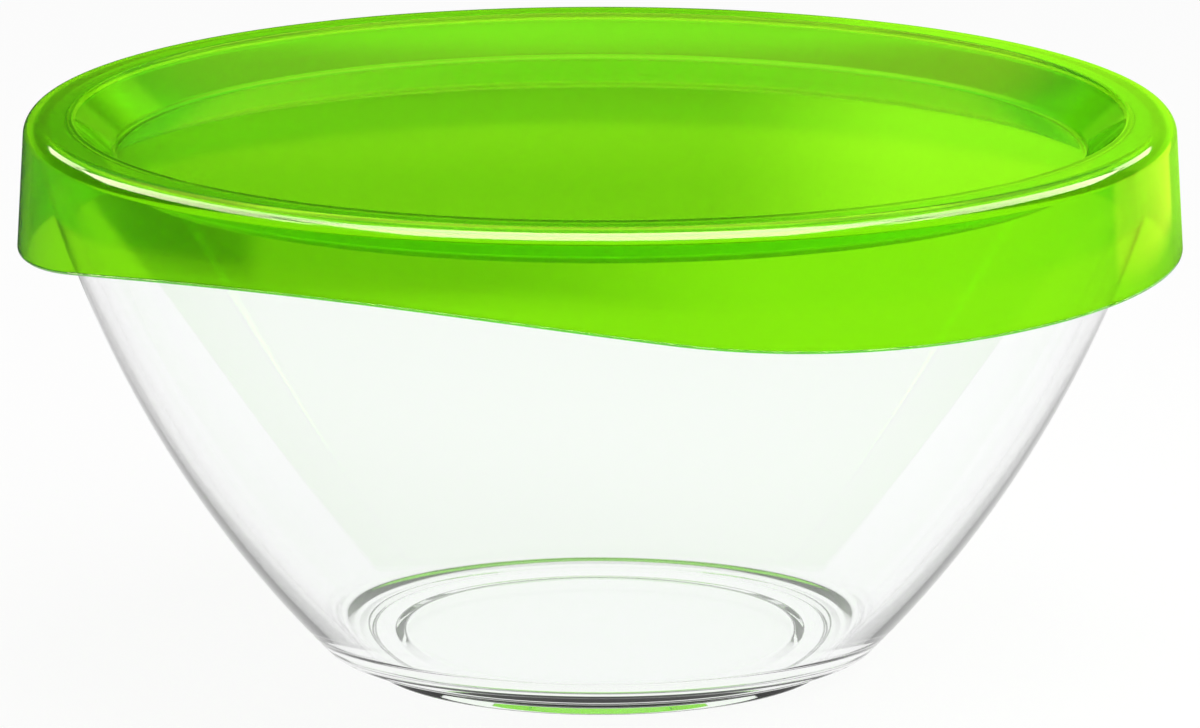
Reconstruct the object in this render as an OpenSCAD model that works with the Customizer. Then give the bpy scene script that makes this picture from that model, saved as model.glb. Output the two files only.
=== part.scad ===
/* [Bowl] */
// Outer diameter of the glass at its rim
rim_d = 268; // [255:1:285]
// Height of the bowl without its lid
bowl_h = 131; // [122:1:142]
// Radius of the curve that the wall follows in side view
wall_r = 270; // [240:5:400]
// Thickness of the glass at the rim, which is also the width of its rounded top
rim_t = 3.7; // [3:0.1:5]
// Thickness of the wall just above the floor
heel_t = 5.2; // [4:0.1:6.5]
// Thickness of the glass between the floor and the ledge outside the foot
floor_t = 4.3; // [3.5:0.1:6]
// Radius of the blend between the floor and the wall, inside
floor_blend_r = 14; // [6:1:24]

/* [Foot] */
// Diameter at which the wall's curve would meet the ledge outside the foot
heel_d = 130; // [124:1:140]
// Radius of the rounded corner between the wall and that ledge
heel_r = 3.8; // [2:0.1:5]
// Outer diameter of the foot ring where it leaves the ledge
foot_d = 112; // [96:1:114]
// Height of the foot ring
foot_h = 4.7; // [3.5:0.1:7]
// Width of the flat face that the foot stands on
foot_face_w = 4.5; // [3:0.5:7]
// Lean of the foot's sides
foot_draft = 14; // [5:1:25]
// Radius of the foot's outer edge
foot_edge_r = 0.8; // [0.4:0.1:1.4]
// Depth of the shallow hollow inside the foot ring
foot_hollow = 1.4; // [0.6:0.1:2.5]

/* [Lid] */
// Thickness of the lid's wall
lid_t = 2; // [1.6:0.1:2.6]
// Height of the lid from the skirt's lower edge to the top ring
skirt_h = 32; // [26:0.5:40]
// Angle by which the skirt flares out towards its lower edge
skirt_flare = 3.3; // [1:0.1:5]
// Radius of the rounded edge between the skirt and the top ring
lid_edge_r = 2.9; // [2.8:0.1:4.5]
// Width of the top ring's flat, inside that rounded edge
ring_w = 8.2; // [6:0.1:12]
// Depth of the recessed panel below the top ring
recess_h = 9.4; // [5:0.2:13]
// Slope of the wall between the top ring and the recessed panel
recess_slope = 44; // [30:1:60]
// Radius of the two edges of that sloping wall
step_r = 1.2; // [0.6:0.1:2]

/* [Skirt cutaway] */
// Height that the skirt's lower edge rises at the middle of the cutaway
cut_rise = 12.6; // [8:0.2:18]
// Width over which the lower edge leaves its level line
cut_w = 274; // [250:1:275]
// Width of the arched crown, between the two reversed blends
crown_w = 160; // [140:1:190]

/* [Fit] */
// Gap all round between the glass rim and the inside of the skirt
rim_gap = 0.4; // [0.2:0.1:1]
// Gap in height between the glass rim and the underside of the top ring
seat_gap = 0.3; // [0.2:0.1:0.6]

/* [Hidden] */
// Length of one step along the large curves, and the steps in a rounded corner
curve_step = 5;
corner_steps = 6;
// How far the revolved skirt and the tools that trim it reach past the trimmed edge
spare = 4;
// Steps in a full turn, for curves shown on screen
$fn = 192;

floor_z = foot_h + floor_t;
rim_centre = [(rim_d - rim_t) / 2, bowl_h - rim_t / 2];
lid_top = bowl_h + seat_gap + lid_t;
skirt_z = lid_top - skirt_h;

// Length of v made 1
function unit(v) = v / norm(v);

// Angle of the direction from c to p
function angle_to(c, p) = atan2(p.y - c.y, p.x - c.x);

// Points along an arc about c, from the angle a to the angle b
function arc(c, r, a, b, steps = corner_steps) =
    [for (i = [0:steps]) let (t = a + (b - a) * i / steps) c + r * [cos(t), sin(t)]];

// The same arc, with as many steps as its length needs
function long_arc(c, r, a, b) = arc(c, r, a, b, ceil(r * abs(b - a) * PI / 180 / curve_step));

// Points of an arc of radius r that rounds the corner p, on the way from a to b
function corner(a, p, b, r) =
    let (u = unit(a - p),
         v = unit(b - p),
         half = acos(u * v) / 2,
         c = p + unit(u + v) * r / sin(half),
         first = angle_to(c, p + u * r / tan(half)),
         turn = angle_to(c, p + v * r / tan(half)) - first)
    arc(c, r, first, first + (turn > 180 ? turn - 360 : turn < -180 ? turn + 360 : turn));

// Centre of the circle that lies rp from p and rq from q, on the left of the way from p to q
function centre_from(p, rp, q, rq) =
    let (d = norm(q - p),
         u = (q - p) / d,
         along = (rp * rp - rq * rq + d * d) / (2 * d))
    p + u * along + [-u.y, u.x] * sqrt(rp * rp - along * along);

// Centre of a blend of radius r that rests on the level z and touches the circle c from inside
function blend_centre(c, big_r, z, r) =
    [c.x + sqrt(pow(big_r - r, 2) - pow(c.y - z - r, 2)), z + r];

// The outer curve runs from the heel to the rim, and meets the rim's round top smoothly
outer_c = centre_from([heel_d / 2, foot_h], wall_r, rim_centre, wall_r - rim_t / 2);
rim_out = unit(rim_centre - outer_c);
rim_lean = angle_to([0, 0], rim_out);
heel_c = blend_centre(outer_c, wall_r, foot_h, heel_r);

// The inner curve leaves the same round top, and reaches the floor with the heel's thickness
inner_foot = [outer_c.x + sqrt(pow(wall_r - heel_t, 2) - pow(outer_c.y - floor_z, 2)), floor_z];
to_rim = rim_centre - inner_foot;
inner_r = (to_rim * to_rim - rim_t * (to_rim * rim_out) + rim_t * rim_t / 4)
    / (2 * (to_rim * rim_out - rim_t / 2));
inner_c = rim_centre - (inner_r + rim_t / 2) * rim_out;
floor_c = blend_centre(inner_c, inner_r, floor_z, floor_blend_r);

// The foot's outer side leans in from the ledge to the face that it stands on
foot_out = foot_d / 2 - foot_h * tan(foot_draft);
foot_in = foot_out - foot_edge_r - foot_face_w;

// Section of the bowl, from the middle of its underside round to the middle of its floor
function bowl_section() = concat(
    [[0, foot_hollow], [foot_in - foot_hollow / tan(2 * foot_draft), foot_hollow], [foot_in, 0]],
    corner([foot_in, 0], [foot_out, 0], [foot_d / 2, foot_h], foot_edge_r),
    [[foot_d / 2, foot_h]],
    arc(heel_c, heel_r, -90, angle_to(outer_c, heel_c)),
    long_arc(outer_c, wall_r, angle_to(outer_c, heel_c), rim_lean),
    arc(rim_centre, rim_t / 2, rim_lean, rim_lean + 180, 2 * corner_steps),
    long_arc(inner_c, inner_r, rim_lean, angle_to(inner_c, floor_c)),
    arc(floor_c, floor_blend_r, angle_to(inner_c, floor_c), -90, 2 * corner_steps),
    [[0, floor_z]]
);

// Radius of the inside of the skirt at the height z
function skirt_in(z) = rim_d / 2 + rim_gap + (rim_centre.y - z) * tan(skirt_flare);
function skirt_out(z) = skirt_in(z) + lid_t / cos(skirt_flare);

// Corners of the lid's upper side, and how far the corners below them move out
ring_out = skirt_out(lid_top) - lid_edge_r * tan(45 - skirt_flare / 2);
ring_in = ring_out - ring_w - step_r * tan(recess_slope / 2);
panel_out = ring_in - recess_h / tan(recess_slope);
panel_z = lid_top - recess_h;
under_shift = [lid_t * tan(recess_slope / 2), -lid_t];

// Section of the lid before its skirt is trimmed to length
function lid_section() =
    let (low = skirt_z - spare,
         skirt_end = [skirt_out(low), low],
         edge = [skirt_out(lid_top), lid_top],
         ring = [ring_in, lid_top],
         panel = [panel_out, panel_z],
         middle = [0, panel_z],
         middle_under = [0, panel_z - lid_t],
         panel_under = panel + under_shift,
         ring_under = ring + under_shift,
         edge_under = [skirt_in(lid_top - lid_t), lid_top - lid_t],
         skirt_end_in = [skirt_in(low), low])
    concat(
        [skirt_end],
        corner(skirt_end, edge, ring, lid_edge_r),
        corner(edge, ring, panel, step_r),
        corner(ring, panel, middle, step_r + lid_t),
        [middle, middle_under],
        corner(middle_under, panel_under, ring_under, step_r),
        corner(panel_under, ring_under, edge_under, step_r + lid_t),
        corner(ring_under, edge_under, skirt_end_in, lid_edge_r - lid_t),
        [skirt_end_in]
    );

// Line of the skirt's lower edge in front view: level, reversed blend, crown, blend, level
function lower_edge() =
    let (half_w = cut_w / 2,
         both_r = (half_w * half_w + cut_rise * cut_rise) / (2 * cut_rise),
         turn = asin(half_w / both_r),
         crown_r = crown_w / 2 / sin(turn),
         blend_r = both_r - crown_r)
    concat(
        long_arc([half_w, skirt_z + blend_r], blend_r, -90, -90 - turn),
        long_arc([0, skirt_z + cut_rise - crown_r], crown_r, 90 - turn, 90 + turn),
        long_arc([-half_w, skirt_z + blend_r], blend_r, -90 + turn, -90)
    );

module bowl() {
    color([0.80, 0.88, 0.88, 0.45])
        rotate_extrude() polygon(bowl_section());
}

// Trims the skirt to its lower edge: shaped at the front, level at the back
module below_skirt() {
    reach = skirt_out(skirt_z) + spare;
    low = skirt_z - 2 * spare;
    rotate([90, 0, 0]) linear_extrude(reach)
        polygon(concat([[-reach, skirt_z], [-reach, low], [reach, low], [reach, skirt_z]], lower_edge()));
    translate([-reach, -1, low]) cube([2 * reach, reach + 1, skirt_z - low]);
}

module lid() {
    color([0.45, 0.82, 0.08, 0.85]) difference() {
        rotate_extrude() polygon(lid_section());
        below_skirt();
    }
}

bowl();
lid();
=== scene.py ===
# %% [markdown]
# # A glass salad bowl with a push-on lid
# This notebook dresses a finished part: a clear pressed-glass bowl and its green plastic
# lid. The part's solids come from the frame, at their real size and place. Both solids
# are right, but they are made of flat steps, and glass and gloss show every step. So each
# piece is drawn again from the same measures as one smooth turned form, which takes the
# place of the stepped one.

# %% The frame and its measures
import math

import bmesh
import bpy
from mathutils import Matrix, Vector


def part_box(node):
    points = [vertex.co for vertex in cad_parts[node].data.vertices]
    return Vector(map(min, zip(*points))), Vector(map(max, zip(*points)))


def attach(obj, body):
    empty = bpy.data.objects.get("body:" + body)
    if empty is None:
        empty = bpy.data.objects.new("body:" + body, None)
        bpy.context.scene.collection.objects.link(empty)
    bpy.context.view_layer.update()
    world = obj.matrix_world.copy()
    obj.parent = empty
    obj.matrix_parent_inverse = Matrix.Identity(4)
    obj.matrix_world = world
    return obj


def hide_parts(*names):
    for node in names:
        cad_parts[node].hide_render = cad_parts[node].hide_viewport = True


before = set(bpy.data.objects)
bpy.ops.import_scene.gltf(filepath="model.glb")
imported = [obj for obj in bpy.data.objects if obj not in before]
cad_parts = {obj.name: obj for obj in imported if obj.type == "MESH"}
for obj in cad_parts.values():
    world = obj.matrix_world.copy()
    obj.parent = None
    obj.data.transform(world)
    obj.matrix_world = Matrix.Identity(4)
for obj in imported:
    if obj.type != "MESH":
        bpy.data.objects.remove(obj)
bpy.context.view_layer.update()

# %% [markdown]
# The outside measures are read from the frame, so the pieces follow it. What can't be
# read from a box, such as a wall's thickness or the radius of a curve, is given here in
# millimetres.

# %% Measures in common
MM = 0.001
_, bowl_high = map(Vector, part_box("bowl"))
lid_low, lid_high = map(Vector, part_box("lid"))
rim_radius = bowl_high.x
bowl_height = bowl_high.z
lid_top = lid_high.z
skirt_bottom = lid_low.z
print(f"Glass rim radius {rim_radius / MM:.1f} mm, bowl height {bowl_height / MM:.1f} mm")
print(f"Lid from {skirt_bottom / MM:.1f} mm to {lid_top / MM:.1f} mm above the table")

# %% [markdown]
# Both pieces are round, so each is one outline turned about the vertical axis, as it
# would be drawn on a mould maker's sheet. The outline lies in the plane of X (the radius)
# and Z (the height). It could be typed as a list of points, but a pen is easier to
# follow: a straight stroke extrudes the last point to a new place.
#
# Smooth shading blends the direction of a face with that of its neighbours. Next to a
# tight curve a long face would look bent, so a stroke starts and ends with a short step
# that takes the blend. A stroke too short to have room for them does without.

# %% Straight strokes
END_STEP = 0.25 * MM
SHORT_STROKE = 4 * END_STEP


def pen_down(radius, height):
    """Starts an outline and returns its mesh and its first point."""
    outline = bmesh.new()
    return outline, outline.verts.new((radius, 0, height))


def line_to(outline, last, radius, height, steps=1):
    """Draws a straight stroke in equal steps, with a short step at each end."""
    start = last.co.copy()
    end = Vector((radius, 0, height))
    length = (end - start).length
    stops = [(i + 1) / steps for i in range(steps)]
    if length > SHORT_STROKE:
        stops = [END_STEP / length] + stops[:-1] + [1 - END_STEP / length, 1]
    for share in stops:
        last = bmesh.ops.extrude_vert_indiv(outline, verts=[last])["verts"][0]
        last.co = start.lerp(end, share)
    return last


print(f"A stroke starts and ends with a step of {END_STEP / MM:.2f} mm")

# %% [markdown]
# A curved stroke spins the last point about a centre. It turns by 8 degrees a step at the
# most, because the eye finds a corner sooner than it finds a long flat.

# %% Curved strokes
TURN_STEP = math.radians(8)


def arc_about(outline, last, centre, turn, step_length):
    """Swings the last point about a centre, by a turn in radians from +X to +Z."""
    radius = (last.co - Vector((centre[0], 0, centre[1]))).length
    steps = math.ceil(max(radius * abs(turn) / step_length, abs(turn) / TURN_STEP))
    swings = [(turn, steps)]
    if radius * abs(turn) > SHORT_STROKE:
        end_turn = math.copysign(END_STEP / radius, turn)
        swings = [(end_turn, 1), (turn - 2 * end_turn, steps), (end_turn, 1)]
    for angle, count in swings:
        swung = bmesh.ops.spin(
            outline, geom=[last], cent=(centre[0], 0, centre[1]), axis=(0, -1, 0),
            dvec=(0, 0, 0), angle=angle, space=Matrix(), steps=count, use_merge=False,
            use_normal_flip=False, use_duplicate=False)
        last = [v for v in swung["geom_last"] if isinstance(v, bmesh.types.BMVert)][0]
    return last


print(f"A curve turns by {math.degrees(TURN_STEP):.0f} degrees a step at the most")

# %% [markdown]
# A moulding has no sharp corner. This stroke stops short of a corner, swings round it on
# a given radius, and leaves towards the next point. The centre of the swing lies on the
# corner's middle line.

# %% A stroke round a corner
FINE = 0.35 * MM


def angle_from(centre, point):
    """The direction from a centre to a point, in radians from +X towards +Z."""
    return math.atan2(point[1] - centre[1], point[0] - centre[0])


def round_corner(outline, last, at, towards, radius):
    """Draws up to the corner `at` and round it, into the line `towards` a point."""
    corner = Vector(at)
    back = (Vector((last.co.x, last.co.z)) - corner).normalized()
    ahead = (Vector(towards) - corner).normalized()
    half = math.acos(max(-1, min(1, back.dot(ahead)))) / 2
    centre = corner + (back + ahead).normalized() * radius / math.sin(half)
    first = corner + back * radius / math.tan(half)
    final = corner + ahead * radius / math.tan(half)
    turn = angle_from(centre, final) - angle_from(centre, first)
    turn = (turn + math.pi) % (2 * math.pi) - math.pi
    last = line_to(outline, last, first.x, first.y)
    return arc_about(outline, last, centre, turn, FINE)


print(f"A rounded corner has steps of {FINE / MM:.2f} mm at the most")

# %% [markdown]
# A finished outline is spun once round the axis. `use_merge` joins the last position to
# the first, and merging the doubles closes the two poles, where the outline starts and
# ends on the axis. At last the faces are turned to point outwards.

# %% Turning an outline
AROUND = 264
SAME_PLACE = 0.001 * MM


def turn_outline(outline):
    """Spins an outline into a closed shell with its faces pointing outwards."""
    bmesh.ops.spin(
        outline, geom=outline.verts[:] + outline.edges[:], cent=(0, 0, 0),
        axis=(0, 0, 1), dvec=(0, 0, 0), angle=2 * math.pi, space=Matrix(), steps=AROUND,
        use_merge=True, use_normal_flip=False, use_duplicate=False)
    bmesh.ops.remove_doubles(outline, verts=outline.verts[:], dist=SAME_PLACE)
    bmesh.ops.recalc_face_normals(outline, faces=outline.faces[:])


print(f"An outline is turned in {AROUND} steps, {360 / AROUND:.2f} degrees each")

# %% [markdown]
# A shell becomes a piece of the part when it rides on a body and stands for that body's
# solid. A closed shell has two faces at every edge, which is counted here, because glass
# with a hole renders wrong.

# %% Making a piece
CUBIC_CM = 1e-6


def make_piece(name, shell, body, node):
    """Makes a shell a smooth object that stands for a node and moves with its body."""
    mesh = bpy.data.meshes.new(name)
    for face in shell.faces:
        face.smooth = True
    open_edges = sum(1 for edge in shell.edges if len(edge.link_faces) != 2)
    volume = shell.calc_volume(signed=True) / CUBIC_CM
    shell.to_mesh(mesh)
    shell.free()
    piece = bpy.data.objects.new(name, mesh)
    bpy.context.scene.collection.objects.link(piece)
    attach(piece, body)
    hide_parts(node)
    print(f"{name}: {len(mesh.polygons)} faces, {open_edges} open edges, {volume:.1f} cm3")
    return piece


# %% [markdown]
# ## The bowl
# The real bowl is pressed in one piece. Its wall has two curves of different radius, so
# the glass gets thicker towards the floor, and the fire-polished rim is a full round that
# both curves meet without a kink. The centres of the curves are worked out here with a
# compass, as on paper.

# %% The bowl's outer curve
wall_curve = 270 * MM
rim_thick = 3.7 * MM
heel_radius = 65 * MM
foot_height = 4.7 * MM


def compass(p, rp, q, rq):
    """The point that lies rp from p and rq from q, on the left of the way from p to q."""
    way = q - p
    far = way.length
    along = (rp * rp - rq * rq + far * far) / (2 * far)
    side = Vector((-way.y, way.x)) / far
    return p + way / far * along + side * math.sqrt(rp * rp - along * along)


heel_corner = Vector((heel_radius, foot_height))
rim_centre = Vector((rim_radius - rim_thick / 2, bowl_height - rim_thick / 2))
outer_centre = compass(heel_corner, wall_curve, rim_centre, wall_curve - rim_thick / 2)
rim_normal = (rim_centre - outer_centre).normalized()
rim_angle = math.atan2(rim_normal.y, rim_normal.x)
print(f"At the rim the wall leans out by {math.degrees(-rim_angle):.1f} degrees")

# %% [markdown]
# The inner curve starts at the same rim, so its centre lies on the same line through the
# rim. How far along is fixed by the point where it has to reach the floor. Each curve
# ends in a smaller one that lies in it as a ball would: the heel outside, on the level of
# the ledge round the foot, and the blend inside, on the floor.

# %% The inner curve, the heel and the blend
heel_thick = 5.2 * MM
heel_round = 3.8 * MM
floor_thick = 4.3 * MM
floor_blend = 14 * MM
floor_level = foot_height + floor_thick


def resting_ball(centre, big, level, small):
    """The centre of a ball that rests on a level and touches a circle from inside."""
    rise = centre.y - level - small
    return Vector((centre.x + math.sqrt((big - small) ** 2 - rise * rise), level + small))


fall = outer_centre.y - floor_level
wall_reach = math.sqrt((wall_curve - heel_thick) ** 2 - fall * fall)
foot_of_wall = Vector((outer_centre.x + wall_reach, floor_level))
to_rim = rim_centre - foot_of_wall
inner_curve = (
    (to_rim.dot(to_rim) - rim_thick * to_rim.dot(rim_normal) + rim_thick ** 2 / 4)
    / (2 * (to_rim.dot(rim_normal) - rim_thick / 2)))
inner_centre = rim_centre - (inner_curve + rim_thick / 2) * rim_normal
heel_centre = resting_ball(outer_centre, wall_curve, foot_height, heel_round)
blend_centre = resting_ball(inner_centre, inner_curve, floor_level, floor_blend)
heel_angle = angle_from(outer_centre, heel_centre)
blend_angle = angle_from(inner_centre, blend_centre)
print(f"The inner curve has a radius of {inner_curve / MM:.1f} mm")

# %% [markdown]
# The foot is a low ring with leaning sides, and a shallow hollow inside it keeps the
# middle off the table. Its corners are rounded a little, because sharp glass would chip
# and sharp edges would render as hard lines.

# %% The foot's measures
foot_radius = 56 * MM
foot_lean = math.radians(14)
foot_face = 4.5 * MM
foot_edge = 0.8 * MM
ledge_round = 0.9 * MM
foot_hollow = 1.4 * MM
hollow_slope = math.radians(28)
hollow_round = 2 * MM
foot_outer = foot_radius - foot_height * math.tan(foot_lean)
foot_inner = foot_outer - foot_edge - foot_face
hollow_edge = foot_inner - foot_hollow / math.tan(hollow_slope)
print(f"The bowl stands on a ring {foot_inner / MM:.1f} to {foot_outer / MM:.1f} mm out")

# %% [markdown]
# Now the outline is drawn in one go: from the middle of the underside over the foot ring,
# round the heel, up the wall, over the rim, down inside and across the floor.

# %% The bowl's outline
WALL_STEP = 2.4 * MM
BLEND_STEP = 1 * MM

outline, pen = pen_down(0, foot_hollow)
pen = line_to(outline, pen, hollow_edge - hollow_round, foot_hollow, steps=8)
pen = round_corner(
    outline, pen, (hollow_edge, foot_hollow), (foot_inner, 0), hollow_round)
pen = round_corner(outline, pen, (foot_inner, 0), (foot_outer, 0), foot_edge)
pen = round_corner(outline, pen, (foot_outer, 0), (foot_radius, foot_height), foot_edge)
pen = round_corner(
    outline, pen, (foot_radius, foot_height), (heel_centre.x, foot_height), ledge_round)
pen = line_to(outline, pen, heel_centre.x, foot_height, steps=3)
pen = arc_about(outline, pen, heel_centre, heel_angle + math.pi / 2, FINE)
pen = arc_about(outline, pen, outer_centre, rim_angle - heel_angle, WALL_STEP)
pen = arc_about(outline, pen, rim_centre, math.pi, FINE)
pen = arc_about(outline, pen, inner_centre, blend_angle - rim_angle, WALL_STEP)
pen = arc_about(outline, pen, blend_centre, -math.pi / 2 - blend_angle, BLEND_STEP)
pen = line_to(outline, pen, 0, floor_level, steps=8)
turn_outline(outline)
bowl = make_piece("glass_bowl", outline, "bowl", "bowl")

# %% [markdown]
# ## The lid
# The lid is one moulding with an even wall: a sunk panel, a slope up to a narrow ring, a
# rounded edge, and a skirt that flares so that it leaves its mould. Drawing the upper
# side and the underside as two parallel lines keeps the wall even, and the corners turn
# on two radii. The bright line in the photograph is thick, and only a full edge can give
# that: it turns on 4.4 mm here, a little more than in the solids, and the ring's flat is
# narrower by as much.

# %% The lid's measures
lid_thick = 2 * MM
skirt_flare = math.radians(3.3)
edge_round = 4.4 * MM
ring_width = 6.8 * MM
panel_depth = 9.4 * MM
slope = math.radians(44)
step_round = 1.2 * MM
rim_gap = 0.4 * MM


def skirt_inside(z):
    """The radius of the skirt's inner side at a height."""
    return rim_radius + rim_gap + (rim_centre.y - z) * math.tan(skirt_flare)


def skirt_outside(z):
    """The radius of the skirt's outer side at a height."""
    return skirt_inside(z) + lid_thick / math.cos(skirt_flare)


ring_outer = skirt_outside(lid_top) - edge_round * math.tan(math.pi / 4 - skirt_flare / 2)
ring_inner = ring_outer - ring_width - step_round * math.tan(slope / 2)
panel_radius = ring_inner - panel_depth / math.tan(slope)
panel_level = lid_top - panel_depth
print(f"The ring lies {ring_inner / MM:.1f} to {ring_outer / MM:.1f} mm from the axis")
print(f"The panel reaches {panel_radius / MM:.1f} mm from the axis")

# %% [markdown]
# The corners come first. Those of the underside lie under those of the upper side, moved
# out so that the wall on the slope is as thick as the panel. The real lower edge is a
# mould's parting edge, a little rounded by wear and polish: the lip turns on 0.55 mm,
# enough to catch a thin line of light. The solids have it sharp, because a radius this
# small would only cost faces there.

# %% The lid's corners
lip_round = 0.55 * MM
edge_room = 3 * MM

under = Vector((lid_thick * math.tan(slope / 2), -lid_thick))
edge_top = Vector((skirt_outside(lid_top), lid_top))
ring_corner = Vector((ring_inner, lid_top))
panel_corner = Vector((panel_radius, panel_level))
edge_under = Vector((skirt_inside(lid_top - lid_thick), lid_top - lid_thick))
lip_out = Vector((skirt_outside(skirt_bottom), skirt_bottom))
lip_in = Vector((skirt_inside(skirt_bottom), skirt_bottom))
up_outside = edge_top - lip_out
down_inside = lip_in - edge_under
skirt_start = lip_out + up_outside * (lip_round / up_outside.length)
edge_start = edge_under + down_inside * (edge_room / down_inside.length)
print(f"The skirt is {up_outside.length / MM:.1f} mm long along its flare")

# %% [markdown]
# The outline starts in the middle of the panel, goes up the slope, over the ring and down
# the skirt, and returns inside. The panel and both sides of the skirt are drawn in many
# steps, which keeps their faces short, and each stops before its corner to leave it room.

# %% The lid's outline
PANEL_STEPS = 12
SKIRT_STEPS = 14
panel_room = 6 * MM

outline, pen = pen_down(0, panel_level)
pen = line_to(outline, pen, panel_radius - panel_room, panel_level, PANEL_STEPS)
pen = round_corner(outline, pen, panel_corner, ring_corner, step_round + lid_thick)
pen = round_corner(outline, pen, ring_corner, edge_top, step_round)
pen = round_corner(outline, pen, edge_top, lip_out, edge_round)
pen = line_to(outline, pen, skirt_start.x, skirt_start.y, SKIRT_STEPS)
pen = round_corner(outline, pen, lip_out, lip_in, lip_round)
pen = round_corner(outline, pen, lip_in, edge_under, lip_round)
pen = line_to(outline, pen, edge_start.x, edge_start.y, SKIRT_STEPS)
pen = round_corner(outline, pen, edge_under, ring_corner + under, edge_round - lid_thick)
pen = round_corner(
    outline, pen, ring_corner + under, panel_corner + under, step_round + lid_thick)
pen = round_corner(
    outline, pen, panel_corner + under, (0, panel_level - lid_thick), step_round)
pen = line_to(outline, pen, 0, panel_level - lid_thick, PANEL_STEPS)
print(f"The lid's outline has {len(outline.verts)} points")
turn_outline(outline)

# %% [markdown]
# The skirt's lower edge isn't level all round: at the front it rises in a wide arch, so
# that a hand can reach the glass. Seen from the front the arch is one crown arc between
# two reversed blends, which meet it without a kink.

# %% The line of the arch
arch_rise = 12.6 * MM
arch_half = 137 * MM
crown_half = 80 * MM
both_curves = (arch_half ** 2 + arch_rise ** 2) / (2 * arch_rise)
arch_turn = math.asin(arch_half / both_curves)
crown_curve = crown_half / math.sin(arch_turn)
blend_curve = both_curves - crown_curve


def arch_height(x):
    """How far the lower edge rises above its level line, at x in front view."""
    x = abs(x)
    if x >= arch_half:
        return 0.0
    if x > crown_half:
        return blend_curve - math.sqrt(blend_curve ** 2 - (arch_half - x) ** 2)
    return arch_rise - crown_curve + math.sqrt(crown_curve ** 2 - x * x)


print(f"Crown radius {crown_curve / MM:.0f} mm, blends {blend_curve / MM:.0f} mm")

# %% [markdown]
# The arch could be cut away with a boolean, but then its edge would be sharp. Here the
# skirt's own points are slid up along its flare instead, the lower ones further than the
# upper ones, and the rounded lip travels up whole. The slope and the panel stay put.

# %% The arch in the skirt
slide_top = lid_top - edge_round
slide_low = skirt_bottom + 2 * lip_round
for point in outline.verts:
    reach = point.co.xy.length
    if point.co.z < slide_top and point.co.y < 0 and reach > ring_outer:
        share = min(1, (slide_top - point.co.z) / (slide_top - slide_low))
        rise = share * arch_height(point.co.x)
        point.co.xy *= (reach - rise * math.tan(skirt_flare)) / reach
        point.co.z += rise
lid = make_piece("plastic_lid", outline, "lid", "lid")

# %% [markdown]
# ## Finishes
# Each finish is one Principled shader. What is the same all over the surface is set on
# the shader's own sockets, and only what varies is a small pattern in object space.
# Object space moves with the piece, so the pattern stays in the material when the lid is
# lifted.

# %% Starting a finish
def new_finish(name):
    """A material with its shader and its object coordinates."""
    finish = bpy.data.materials.new(name)
    finish.use_nodes = True
    nodes = finish.node_tree.nodes
    shader = nodes["Principled BSDF"]
    coords = nodes.new("ShaderNodeTexCoord")
    return finish, shader, coords.outputs["Object"]


def noise(finish, coords, scale, detail, stretch=(1, 1, 1)):
    """A noise pattern, with about `scale` cells to the metre."""
    nodes, links = finish.node_tree.nodes, finish.node_tree.links
    mapping = nodes.new("ShaderNodeMapping")
    mapping.inputs["Scale"].default_value = stretch
    links.new(coords, mapping.inputs["Vector"])
    texture = nodes.new("ShaderNodeTexNoise")
    texture.inputs["Scale"].default_value = scale
    texture.inputs["Detail"].default_value = detail
    links.new(mapping.outputs["Vector"], texture.inputs["Vector"])
    return texture.outputs["Fac"]


# %% [markdown]
# A pattern runs from 0 to 1, and small steps turn it into what a shader needs. A spread
# gives it a range, and a soft step turns a place into a level. The same steps serve later
# for the table and the lamps.

# %% From a pattern to a range
def spread(finish, value, low, high):
    """Maps a 0 to 1 pattern to a range."""
    node = finish.node_tree.nodes.new("ShaderNodeMapRange")
    node.inputs["To Min"].default_value = low
    node.inputs["To Max"].default_value = high
    finish.node_tree.links.new(value, node.inputs["Value"])
    return node.outputs["Result"]


def ease(finish, value, start, end, low, high):
    """A soft step from low to high, while a value goes from start to end."""
    node = finish.node_tree.nodes.new("ShaderNodeMapRange")
    node.interpolation_type = "SMOOTHSTEP"
    node.inputs["From Min"].default_value = start
    node.inputs["From Max"].default_value = end
    node.inputs["To Min"].default_value = low
    node.inputs["To Max"].default_value = high
    finish.node_tree.links.new(value, node.inputs["Value"])
    return node.outputs["Result"]


# %% [markdown]
# Arithmetic joins two patterns, and a bump makes one of them a relief of the surface. The
# relief is only a few tenths of a millimetre, so it stays in the material, and the mesh
# keeps the form.

# %% Arithmetic and relief
def combine(finish, operation, a, b):
    """One step of arithmetic, with a socket or a number on each side."""
    node = finish.node_tree.nodes.new("ShaderNodeMath")
    node.operation = operation
    for socket, value in zip(node.inputs, (a, b)):
        if isinstance(value, (int, float)):
            socket.default_value = value
        else:
            finish.node_tree.links.new(value, socket)
    return node.outputs["Value"]


def bump(finish, shader, height, depth, strength):
    """Ripples the surface by a pattern, depth metres high."""
    node = finish.node_tree.nodes.new("ShaderNodeBump")
    node.inputs["Distance"].default_value = depth
    node.inputs["Strength"].default_value = strength
    finish.node_tree.links.new(height, node.inputs["Height"])
    finish.node_tree.links.new(node.outputs["Normal"], shader.inputs["Normal"])


# %% [markdown]
# ### Clear glass
# The real bowl is colourless pressed glass. Its body could have a tint inside, as a
# volume, but the wall is thin and the real one shows none, so the surface lets nearly all
# light through and keeps only a trace of blue. A pressed wall is never quite flat: a
# slow, shallow ripple bends the reflections, and the polish varies a little from place to
# place.

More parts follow.
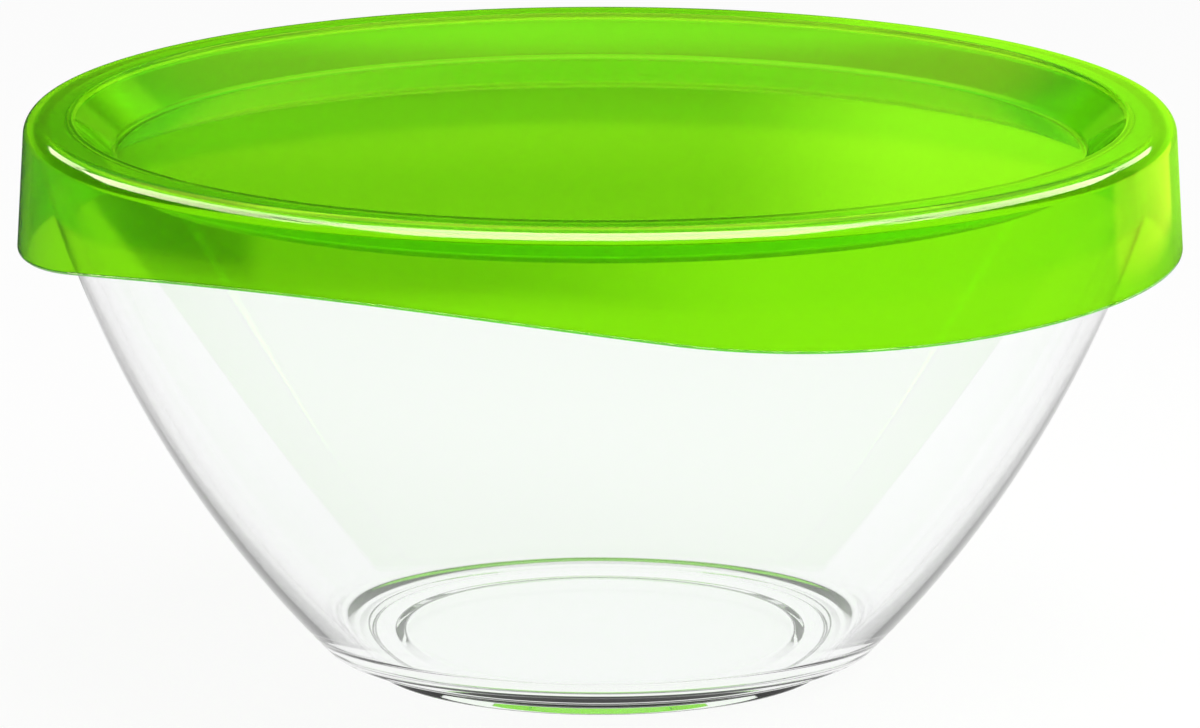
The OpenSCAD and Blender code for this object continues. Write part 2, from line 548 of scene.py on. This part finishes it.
# %% The glass
GLASS_RIPPLES = 22
glass, shader, coords = new_finish("clear_pressed_glass")
shader.inputs["Base Color"].default_value = (0.992, 0.996, 1, 1)
shader.inputs["Transmission Weight"].default_value = 1
shader.inputs["IOR"].default_value = 1.5
polish = noise(glass, coords, scale=30, detail=2)
glass_rough = spread(glass, polish, low=0, high=0.02)
glass.node_tree.links.new(glass_rough, shader.inputs["Roughness"])
ripple = noise(glass, coords, scale=GLASS_RIPPLES, detail=1, stretch=(1, 1, 0.6))
bump(glass, shader, ripple, depth=0.5 * MM, strength=0.12)
bowl.data.materials.append(glass)
print(f"Glass: all transmission, with ripples of about {1 / GLASS_RIPPLES / MM:.0f} mm")

# %% [markdown]
# ### Green plastic
# The real lid is tinted right through. Light passes, but some of it is scattered inside,
# so the colour glows and what lies behind it loses contrast. A volume would show that
# too, but slowly and with grain. Here most of the shader is transmission, and the rest is
# plain matt colour of the same green. Two close greens drift into each other, as they do
# in a moulding.

# %% The plastic's colour
PASSES_THROUGH = 0.84
plastic, shader, coords = new_finish("green_translucent_plastic")
shader.inputs["Transmission Weight"].default_value = PASSES_THROUGH
shader.inputs["IOR"].default_value = 1.47
nodes, links = plastic.node_tree.nodes, plastic.node_tree.links
greens = nodes.new("ShaderNodeMix")
greens.data_type = "RGBA"
greens.inputs["A"].default_value = (0.28, 0.88, 0.004, 1)
greens.inputs["B"].default_value = (0.33, 0.94, 0.006, 1)
links.new(noise(plastic, coords, scale=9, detail=2), greens.inputs["Factor"])
links.new(greens.outputs["Result"], shader.inputs["Base Color"])
polish = noise(plastic, coords, scale=40, detail=3)
links.new(spread(plastic, polish, low=0.03, high=0.06), shader.inputs["Roughness"])
lid.data.materials.append(plastic)
print(f"Plastic: {PASSES_THROUGH:.0%} transmission, the rest matt")

# %% [markdown]
# The mould for the slope, the ring and the skirt was turned on a lathe, and fine rings of
# the tool show in the plastic as faint streaks along the edge. They are a noise in polar
# terms: the distance from the axis counts in full and the way round counts for little, so
# the cells stretch into streaks. The panel in the middle is polished and has none.

# %% The plastic's turning marks
MARKS_TO_THE_METRE = 700
WAY_ROUND = 0.004
mark_level = 0.06
marks_full = panel_radius + 3 * MM

split = nodes.new("ShaderNodeSeparateXYZ")
links.new(coords, split.inputs["Vector"])
flat = nodes.new("ShaderNodeVectorMath")
flat.operation = "MULTIPLY"
flat.inputs[1].default_value = (1, 1, 0)
links.new(coords, flat.inputs[0])
radial = nodes.new("ShaderNodeVectorMath")
radial.operation = "LENGTH"
links.new(flat.outputs["Vector"], radial.inputs[0])
around = combine(plastic, "ARCTAN2", split.outputs["Y"], split.outputs["X"])
polar = nodes.new("ShaderNodeCombineXYZ")
links.new(radial.outputs["Value"], polar.inputs["X"])
links.new(combine(plastic, "MULTIPLY", around, WAY_ROUND), polar.inputs["Y"])
links.new(split.outputs["Z"], polar.inputs["Z"])
marks = noise(plastic, polar.outputs["Vector"], scale=MARKS_TO_THE_METRE, detail=2)
off_panel = ease(
    plastic, radial.outputs["Value"], panel_radius, marks_full, 0, mark_level)
marks = combine(plastic, "MULTIPLY", marks, off_panel)
ripple = combine(plastic, "ADD", noise(plastic, coords, scale=26, detail=1), marks)
bump(plastic, shader, ripple, depth=0.4 * MM, strength=0.08)
print(f"Turning marks start {panel_radius / MM:.1f} mm from the axis")

# %% [markdown]
# ## The camera
# The photograph was taken from far away with a long lens: the lid's front and back edges
# are nearly the same curve. The camera looks down by 12.45 degrees and sees the arch
# turned 29 degrees to the left. The directions of its view also set out the studio.

# %% The camera
camera_turn = math.radians(29)
camera_pitch = math.radians(12.45)
camera_distance = 3.0
aim = Vector((0, 0, 0.0723))
camera_data = bpy.data.cameras.new("camera")
camera_data.sensor_width = 36
camera_data.lens = 379
camera = bpy.data.objects.new("camera", camera_data)
away = Vector((
    math.sin(camera_turn) * math.cos(camera_pitch),
    -math.cos(camera_turn) * math.cos(camera_pitch),
    math.sin(camera_pitch)))
camera.location = aim + away * camera_distance
camera.rotation_euler = (-away).to_track_quat("-Z", "Y").to_euler()
bpy.context.scene.collection.objects.link(camera)
bpy.context.scene.camera = camera
print("The camera stands at", [round(c, 3) for c in camera.location])


def studio(right, near, up):
    """A place in the studio: right in the picture, nearer to the camera, and up."""
    to_right = Vector((math.cos(camera_turn), math.sin(camera_turn), 0))
    to_camera = Vector((math.sin(camera_turn), -math.cos(camera_turn), 0))
    return to_right * right + to_camera * near + Vector((0, 0, up))


# %% [markdown]
# ## The table
# The picture has a plain white ground. A real studio lights a white sweep from behind for
# that. Here the table is a pale matt board that also glows for the rays that come from
# the camera, so the ground is white without more light on the object, and the object's
# soft shadow stays on it.

# %% The board
BOARD_HALF = 6
BOARD_WHITE = 0.85

bm = bmesh.new()
bmesh.ops.create_grid(bm, x_segments=1, y_segments=1, size=BOARD_HALF)
floor_mesh = bpy.data.meshes.new("floor")
bm.to_mesh(floor_mesh)
bm.free()
floor = bpy.data.objects.new("floor", floor_mesh)
bpy.context.scene.collection.objects.link(floor)

board = bpy.data.materials.new("pale_board")
board.use_nodes = True
nodes, links = board.node_tree.nodes, board.node_tree.links
matt = nodes["Principled BSDF"]
matt.inputs["Base Color"].default_value = (BOARD_WHITE, BOARD_WHITE, BOARD_WHITE, 1)
matt.inputs["Roughness"].default_value = 0.8
matt.inputs["Specular IOR Level"].default_value = 0.2
floor.data.materials.append(board)
print(f"The board is {2 * BOARD_HALF} m wide and reflects {BOARD_WHITE:.0%} of the light")

# %% [markdown]
# The board needs to know where it is seen. Its coordinates are turned by the camera's own
# turn, so that one runs across the picture and the other runs away behind the bowl, in
# metres. They belong to the board, so nothing on it slides when it is seen from
# elsewhere.

# %% Places on the board
coords = nodes.new("ShaderNodeTexCoord")
turned = nodes.new("ShaderNodeMapping")
turned.inputs["Rotation"].default_value = (0, 0, -camera_turn)
links.new(coords.outputs["Object"], turned.inputs["Vector"])
split = nodes.new("ShaderNodeSeparateXYZ")
links.new(turned.outputs["Vector"], split.inputs["Vector"])
across, behind = split.outputs["X"], split.outputs["Y"]
away_from = nodes.new("ShaderNodeVectorMath")
away_from.operation = "LENGTH"
links.new(coords.outputs["Object"], away_from.inputs[0])
from_axis = away_from.outputs["Value"]


def times(a, b):
    """Two levels on the board, multiplied."""
    return combine(board, "MULTIPLY", a, b)


def band(value, start, end, soft):
    """1 between start and end, with soft edges."""
    rise = ease(board, value, start - soft, start + soft, 0, 1)
    fall = ease(board, value, end - soft, end + soft, 1, 0)
    return times(rise, fall)


print(f"The board's places are turned by {math.degrees(camera_turn):.0f} degrees")

# %% [markdown]
# Seen through the lid, the board isn't even in the photograph: the left part of the
# skirt, a patch in it and the foot of the far slope are darker, as if dark flags stood in
# the studio. Flags of cloth would do it, but they would also shade the object. So the
# board itself glows less there, on a strip that is bent as the skirt is.
#
# That is to show only through the closed lid, and never through the open bowl. A ray that
# has gone through both walls of the bowl has crossed four surfaces, and one that has gone
# through the skirt as well has crossed six, so the shades wait for more than four.

# %% Soft shades behind the lid
BOTH_WALLS = 4.5
STRIP_BEND = 4.5

rays = nodes.new("ShaderNodeLightPath")
through_lid = combine(
    board, "GREATER_THAN", rays.outputs["Transmission Depth"], BOTH_WALLS)
bent = combine(board, "SUBTRACT", behind, times(times(across, across), STRIP_BEND))
behind_skirt = band(bent, 0.28, 0.47, soft=0.02)
left_part = times(ease(board, across, -0.04, 0.055, 1, 0), behind_skirt)
dark_patch = times(band(across, -0.3, -0.108, soft=0.006), behind_skirt)
narrow_patch = times(band(across, -0.172, -0.132, soft=0.008), behind_skirt)
slope_foot = band(behind, 0.64, 0.755, soft=0.025)
shades = ((left_part, 0.45), (dark_patch, 0.45), (narrow_patch, 0.1), (slope_foot, 0.9))
through = 1
for place, depth in shades:
    shade = times(times(place, depth), through_lid)
    through = combine(board, "SUBTRACT", through, shade)
print(f"{len(shades)} soft shades lie behind the lid")

# %% [markdown]
# In reflections the board is white only near the bowl. Far away it would be mirrored,
# nearly edge on, by the lid's level panel and turn its green milky. The three kinds of
# ray are told apart by the light path, and each gets its own strength of glow. A little
# of the matt board shows through the glow, and with it the object's shadow.

# %% How the board glows
NEAR_GLOW, FAR_GLOW = 0.97, 0.02
GLOW_SHARE = 0.94


def larger(a, b):
    """The larger of two levels on the board."""
    return combine(board, "MAXIMUM", a, b)


mirrored = ease(board, from_axis, 0.36, 0.46, NEAR_GLOW, FAR_GLOW)
to_camera = rays.outputs["Is Camera Ray"]
to_glass = rays.outputs["Is Transmission Ray"]
to_gloss = rays.outputs["Is Glossy Ray"]
strength = larger(to_camera, larger(times(to_glass, through), times(to_gloss, mirrored)))
seen = larger(to_camera, larger(to_glass, to_gloss))
glow = nodes.new("ShaderNodeEmission")
glow.inputs["Color"].default_value = (1, 1, 1, 1)
links.new(strength, glow.inputs["Strength"])
mix = nodes.new("ShaderNodeMixShader")
links.new(times(seen, GLOW_SHARE), mix.inputs["Fac"])
links.new(matt.outputs["BSDF"], mix.inputs[1])
links.new(glow.outputs["Emission"], mix.inputs[2])
links.new(mix.outputs["Shader"], nodes["Material Output"].inputs["Surface"])
print("The board glows for camera, transmission and glossy rays, not for diffuse ones")

# %% [markdown]
# ## The light
# A softbox is a lamp with a broad face. A real one is weaker towards its edges, which its
# own surface coordinates give here: they run from 0 to 1 along its width and its length.
# The same lamp serves later as a card, so each of its ends can fade over its own share.

# %% A lamp with soft edges
SOFT = (0.1, 0.1, 0.1)


def softbox(name, place, look_at, size, radiance, edges=SOFT):
    """A lamp that faces a point. Its light fades at its sides, its start and its end."""
    width, length = size
    data = bpy.data.lights.new(name, "AREA")
    data.shape = "RECTANGLE"
    data.size = width
    data.size_y = length
    data.energy = radiance * math.pi * width * length
    data.use_nodes = True
    links = data.node_tree.links
    surface = data.node_tree.nodes.new("ShaderNodeNewGeometry")
    face = data.node_tree.nodes.new("ShaderNodeSeparateXYZ")
    links.new(surface.outputs["Parametric"], face.inputs["Vector"])
    sides, first, final = edges
    level = 1
    for way, start, end in (
            ("X", 0, sides), ("X", 1, 1 - sides), ("Y", 0, first), ("Y", 1, 1 - final)):
        fade = ease(data, face.outputs[way], start, end, 0, 1)
        level = combine(data, "MULTIPLY", level, fade)
    links.new(level, data.node_tree.nodes["Emission"].inputs["Strength"])
    lamp = bpy.data.objects.new(name, data)
    lamp.location = place
    towards = Vector(look_at) - Vector(place)
    lamp.rotation_euler = towards.to_track_quat("-Z", "Y").to_euler()
    lamp.visible_camera = False
    bpy.context.scene.collection.objects.link(lamp)
    return lamp


print(f"A lamp fades over {SOFT[0]:.0%} of its face at each side, unless told otherwise")

# %% [markdown]
# A broad softbox hangs above and a small one stands to the right and in front, so the
# form has a bright and a dark side. Both only light the object: what is mirrored in it
# comes from the cards.

# %% The softboxes
middle = (0, 0, 0.1)
over = softbox(
    "over_softbox", studio(0.2, 0.1, 1.2), middle, size=(1.2, 1.2), radiance=3.4)
right = softbox(
    "right_softbox", studio(0.44, 0.16, 0.44), middle, size=(0.3, 0.3), radiance=10)
for lamp in (over, right):
    lamp.visible_glossy = False
    lamp.visible_transmission = False
    print(f"{lamp.name}: {lamp.data.energy:.1f} W")

# %% [markdown]
# ### Cards for the reflections
# The bright line along the lid's front edge is the mirror image of a pale overhead
# screen. Such screens are cards here: lamps that show only in reflections, each laid
# where the shape mirrors it. One card in front gives the line, and two on each side carry
# it round the ends.

# %% Pale cards for the bright line
CREAM = (1, 0.93, 0.66)
CARD_LEVEL = 0.53


def card(name, colour, place, size, radiance, edges=SOFT, look_at=None, turn=0):
    """A card that shows only in reflections. It lies level, or looks at a place."""
    below = (place[0], place[1], 0)
    lamp = softbox(
        name, studio(*place), studio(*(look_at or below)), size, radiance, edges)
    lamp.data.color = colour
    lamp.visible_diffuse = False
    lamp.visible_transmission = False
    if look_at is None:
        lamp.rotation_euler = (0, 0, camera_turn + math.radians(turn))
    print(f"{name}: {size[0]} by {size[1]} m, radiance {radiance}")


card("near_card", CREAM, place=(0, 0.38, CARD_LEVEL), size=(1, 0.48), radiance=17,
     edges=(0.1, 0.03, 0.03))
for side, way in (("left", -1), ("right", 1)):
    card(side + "_card", CREAM, place=(0.64 * way, -0.15, CARD_LEVEL),
         size=(0.42, 1), radiance=11, turn=-28 * way)
    card(side + "_end_card", CREAM, place=(0.66 * way, -0.85, CARD_LEVEL),
         size=(0.3, 0.6), radiance=5)

# %% [markdown]
# The far slope mirrors a place behind and above the lid, where a warm card gives it its
# yellow. The level panel mirrors what stands upright behind the bowl: a weak green card
# on the right makes that side lighter, and a low green strip lifts the panel's far half.
# A small warm card by the green one yellows the right end of the skirt.

# %% Warm and green cards
AMBER = (1, 0.74, 0.05)
LIME = (0.42, 1, 0.02)
card("far_card", AMBER, place=(-0.06, -0.38, CARD_LEVEL), size=(1, 0.7), radiance=2.2,
     edges=(0.42, 0.03, 0.6))
card("lime_card_right", LIME, place=(0.345, -0.4, 0.18), look_at=(0.345, 0, 0.18),
     size=(0.64, 0.36), radiance=0.95)
card("lime_card_low", LIME, place=(0.05, -0.38, 0.163), look_at=(0.05, 0, 0.163),
     size=(1.1, 0.1), radiance=0.4, edges=(0.1, 0.25, 0.25))
card("amber_card_right", AMBER, place=(0.46, -0.33, 0.075), look_at=(0.2, 0, 0.075),
     size=(0.36, 0.12), radiance=1.2)

# %% [markdown]
# ### The room
# Above the table the ground goes on as a white world, for the camera and for what is seen
# through glass. Reflections and soft light get a dim room that is a little lighter
# overhead: seen at 12 degrees the panel mirrors like a pond, and a white room would wash
# out its green.

# %% The world
ROOM = {"From Min": 0.3, "From Max": 0.9, "To Min": 0.01, "To Max": 0.25}

world = bpy.data.worlds.new("studio")
world.use_nodes = True
nodes, links = world.node_tree.nodes, world.node_tree.links
background = nodes["Background"]
coords = nodes.new("ShaderNodeTexCoord")
split = nodes.new("ShaderNodeSeparateXYZ")
links.new(coords.outputs["Generated"], split.inputs["Vector"])
room = nodes.new("ShaderNodeMapRange")
for socket, number in ROOM.items():
    room.inputs[socket].default_value = number
links.new(split.outputs["Z"], room.inputs["Value"])
rays = nodes.new("ShaderNodeLightPath")
shows_white = combine(
    world, "MAXIMUM", rays.outputs["Is Camera Ray"], rays.outputs["Is Transmission Ray"])
pick = nodes.new("ShaderNodeMix")
pick.data_type = "FLOAT"
links.new(shows_white, pick.inputs["Factor"])
links.new(room.outputs["Result"], pick.inputs["A"])
pick.inputs["B"].default_value = 1
background.inputs["Color"].default_value = (1, 1, 1, 1)
links.new(pick.outputs["Result"], background.inputs["Strength"])
bpy.context.scene.world = world
bpy.context.scene.view_settings.view_transform = "Standard"
print("View transform:", bpy.context.scene.view_settings.view_transform)
